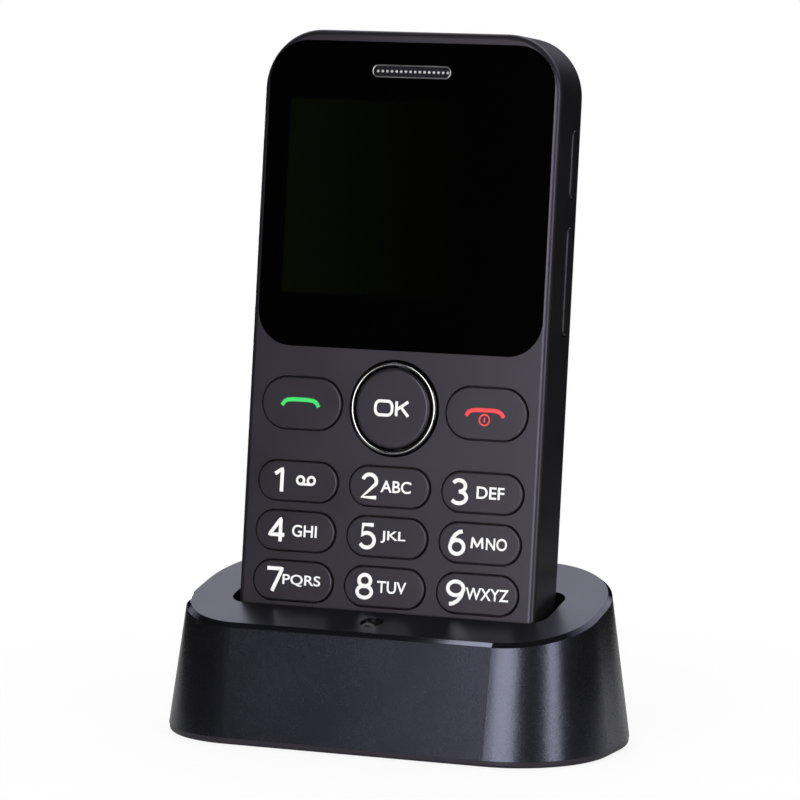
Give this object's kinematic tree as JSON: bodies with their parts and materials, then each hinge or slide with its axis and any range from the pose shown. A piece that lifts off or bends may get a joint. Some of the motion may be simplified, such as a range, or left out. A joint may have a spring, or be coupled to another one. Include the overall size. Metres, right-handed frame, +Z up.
{
  "type": "mobile phone in a charging cradle",
  "caption": "Bar-shaped keypad phone with a display window, round OK key and side keys, leaning back in a tapered charging cradle that it lifts out of.",
  "frame": {"origin": "on the surface the cradle stands on, under the middle of its base", "axes": "+Z up, +Y to the back, +X to the right as the keypad is read"},
  "size_m": [0.0838, 0.0449, 0.1258],
  "materials": {
    "body": "satin charcoal",
    "key": "satin charcoal",
    "window": "gloss black",
    "trim_black": "matt black",
    "display": "dark display glass",
    "mat": "rubber",
    "board": "green lacquer",
    "inner_metal": "bright metal",
    "contact": "gold plated",
    "battery": "plain can",
    "lens": "clear",
    "ring": "bright plated",
    "sos": "satin red",
    "cradle": "satin black, finely textured",
    "cradle_base": "satin black",
    "foot": "rubber",
    "light": "smoked clear"
  },
  "bodies": {
    "cradle": {"cradle_shell": "cradle", "cradle_base": "cradle_base", "cradle_feet": "foot", "cradle_screws": "inner_metal", "cradle_board": "board", "contact_sleeves": "contact", "light_pipe": "light", "dock_socket": "inner_metal"},
    "phone": {"front_housing": "body", "display_window": "window", "earpiece_grille": "trim_black", "earpiece_receiver": "inner_metal", "lcd_panel": "display", "lcd_frame": "trim_black", "keypad_mat": "mat", "dome_sheet": "inner_metal", "main_board": "board", "board_shields": "inner_metal", "side_switches": "board", "rear_housing": "body", "battery": "battery", "battery_contacts": "trim_black", "sim_socket": "inner_metal", "loudspeaker": "trim_black", "camera_module": "trim_black", "camera_lens": "lens", "torch_lens": "lens", "sos_switch": "trim_black", "vibration_motor": "inner_metal", "microphone": "inner_metal", "antenna": "contact", "usb_socket": "inner_metal", "charging_pads": "contact", "housing_screws": "inner_metal"},
    "contact_pin_left": {"contact_pin_left": "contact"},
    "contact_pin_right": {"contact_pin_right": "contact"},
    "battery_cover": {"battery_cover": "body"},
    "call_key": {"call_key": "key"},
    "end_key": {"end_key": "key"},
    "ok_key": {"ok_key": "key"},
    "nav_ring": {"nav_ring": "ring"},
    "side_key": {"side_key": "body"},
    "volume_rocker": {"volume_rocker": "body"},
    "sos_key": {"sos_key": "sos"},
    "key_1": {"key_1": "key"},
    "key_2": {"key_2": "key"},
    "key_3": {"key_3": "key"},
    "key_4": {"key_4": "key"},
    "key_5": {"key_5": "key"},
    "key_6": {"key_6": "key"},
    "key_7": {"key_7": "key"},
    "key_8": {"key_8": "key"},
    "key_9": {"key_9": "key"},
    "key_star": {"key_star": "key"},
    "key_0": {"key_0": "key"},
    "key_hash": {"key_hash": "key"}
  },
  "joints": [
    {"name": "phone_lift", "type": "slide", "parent": "cradle", "child": "phone", "axis": [0, 0.1297, 0.9915], "range_m": [0, 0.06]},
    {"name": "battery_cover_off", "type": "slide", "parent": "phone", "child": "battery_cover", "axis": [0, 0.9915, -0.1297], "range_m": [0, 0.012]},
    {"name": "contact_pin_left_press", "type": "slide", "parent": "cradle", "child": "contact_pin_left", "axis": [0, -0.1297, -0.9915], "range_m": [0, 0.0006], "stiffness_N_per_m": 100, "springref_m": -0.0003},
    {"name": "contact_pin_right_press", "type": "slide", "parent": "cradle", "child": "contact_pin_right", "axis": [0, -0.1297, -0.9915], "range_m": [0, 0.0006], "stiffness_N_per_m": 100, "springref_m": -0.0003},
    {"name": "key_1_press", "type": "slide", "parent": "phone", "child": "key_1", "axis": [0, 0.9915, -0.1297], "range_m": [0, 0.0004], "stiffness_N_per_m": 60, "springref_m": -0.0003},
    {"name": "key_2_press", "type": "slide", "parent": "phone", "child": "key_2", "axis": [0, 0.9915, -0.1297], "range_m": [0, 0.0004], "stiffness_N_per_m": 60, "springref_m": -0.0003},
    {"name": "key_3_press", "type": "slide", "parent": "phone", "child": "key_3", "axis": [0, 0.9915, -0.1297], "range_m": [0, 0.0004], "stiffness_N_per_m": 60, "springref_m": -0.0003},
    {"name": "key_4_press", "type": "slide", "parent": "phone", "child": "key_4", "axis": [0, 0.9915, -0.1297], "range_m": [0, 0.0004], "stiffness_N_per_m": 60, "springref_m": -0.0003},
    {"name": "key_5_press", "type": "slide", "parent": "phone", "child": "key_5", "axis": [0, 0.9915, -0.1297], "range_m": [0, 0.0004], "stiffness_N_per_m": 60, "springref_m": -0.0003},
    {"name": "key_6_press", "type": "slide", "parent": "phone", "child": "key_6", "axis": [0, 0.9915, -0.1297], "range_m": [0, 0.0004], "stiffness_N_per_m": 60, "springref_m": -0.0003},
    {"name": "key_7_press", "type": "slide", "parent": "phone", "child": "key_7", "axis": [0, 0.9915, -0.1297], "range_m": [0, 0.0004], "stiffness_N_per_m": 60, "springref_m": -0.0003},
    {"name": "key_8_press", "type": "slide", "parent": "phone", "child": "key_8", "axis": [0, 0.9915, -0.1297], "range_m": [0, 0.0004], "stiffness_N_per_m": 60, "springref_m": -0.0003},
    {"name": "key_9_press", "type": "slide", "parent": "phone", "child": "key_9", "axis": [0, 0.9915, -0.1297], "range_m": [0, 0.0004], "stiffness_N_per_m": 60, "springref_m": -0.0003},
    {"name": "key_star_press", "type": "slide", "parent": "phone", "child": "key_star", "axis": [0, 0.9915, -0.1297], "range_m": [0, 0.0004], "stiffness_N_per_m": 60, "springref_m": -0.0003},
    {"name": "key_0_press", "type": "slide", "parent": "phone", "child": "key_0", "axis": [0, 0.9915, -0.1297], "range_m": [0, 0.0004], "stiffness_N_per_m": 60, "springref_m": -0.0003},
    {"name": "key_hash_press", "type": "slide", "parent": "phone", "child": "key_hash", "axis": [0, 0.9915, -0.1297], "range_m": [0, 0.0004], "stiffness_N_per_m": 60, "springref_m": -0.0003},
    {"name": "call_key_press", "type": "slide", "parent": "phone", "child": "call_key", "axis": [0, 0.9915, -0.1297], "range_m": [0, 0.0004], "stiffness_N_per_m": 60, "springref_m": -0.0003},
    {"name": "end_key_press", "type": "slide", "parent": "phone", "child": "end_key", "axis": [0, 0.9915, -0.1297], "range_m": [0, 0.0004], "stiffness_N_per_m": 60, "springref_m": -0.0003},
    {"name": "ok_key_press", "type": "slide", "parent": "phone", "child": "ok_key", "axis": [0, 0.9915, -0.1297], "range_m": [0, 0.0004], "stiffness_N_per_m": 60, "springref_m": -0.0003},
    {"name": "side_key_press", "type": "slide", "parent": "phone", "child": "side_key", "axis": [-1, 0, 0], "range_m": [0, 0.0004], "stiffness_N_per_m": 60, "springref_m": -0.0003},
    {"name": "sos_key_press", "type": "slide", "parent": "phone", "child": "sos_key", "axis": [0, -0.9915, 0.1297], "range_m": [0, 0.0004], "stiffness_N_per_m": 60, "springref_m": -0.0003},
    {"name": "volume_rocker_tilt", "type": "hinge", "parent": "phone", "child": "volume_rocker", "pos_m": [0.0273, 0.0073, 0.08239], "axis": [0, 0.9915, -0.1297], "range_deg": [-1.5, 1.5], "stiffness_Nm_per_rad": 0.005},
    {"name": "nav_ring_tilt", "type": "hinge", "parent": "phone", "child": "nav_ring", "pos_m": [0, -0.00133, 0.05921], "axis": [1, 0, 0], "range_deg": [-1.2, 1.2], "stiffness_Nm_per_rad": 0.005}
  ]
}
